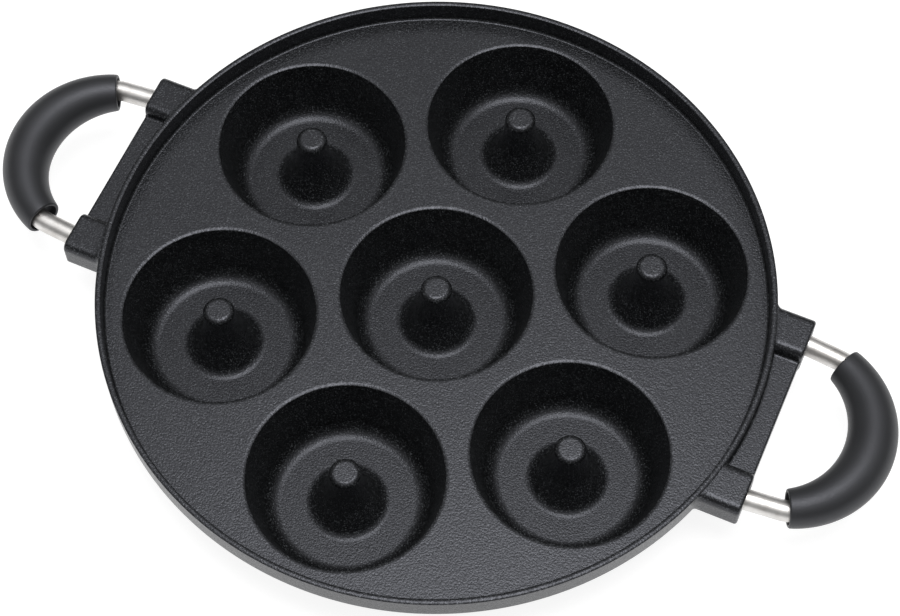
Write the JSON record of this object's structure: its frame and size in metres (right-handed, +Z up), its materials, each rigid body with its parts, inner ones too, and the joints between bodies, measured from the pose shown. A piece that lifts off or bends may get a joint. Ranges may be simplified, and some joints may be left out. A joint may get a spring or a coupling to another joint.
{
  "type": "donut maker",
  "caption": "Round cast non-stick pan with ring-shaped cake cups around posts, a raised rim and two looped rod handles with black grips.",
  "frame": {"origin": "centre of the pan at the plane that its cup bottoms stand on", "axes": "+X along the line through both handles, +Y towards the rear cup, +Z up out of the cups"},
  "size_m": [0.367, 0.2598, 0.0394],
  "materials": {
    "coated_casting": "dark speckled non-stick coating on cast aluminium, satin",
    "polished_rod": "polished stainless rod",
    "black_grip": "satin black moulded sleeve",
    "pin_steel": "plain ground pin"
  },
  "bodies": {
    "root": {"pan_casting": "coated_casting", "right_handle_bow": "polished_rod", "right_grip_sleeve": "black_grip", "right_rear_pin": "pin_steel", "right_front_pin": "pin_steel", "left_handle_bow": "polished_rod", "left_grip_sleeve": "black_grip", "left_rear_pin": "pin_steel", "left_front_pin": "pin_steel"}
  },
  "joints": []
}
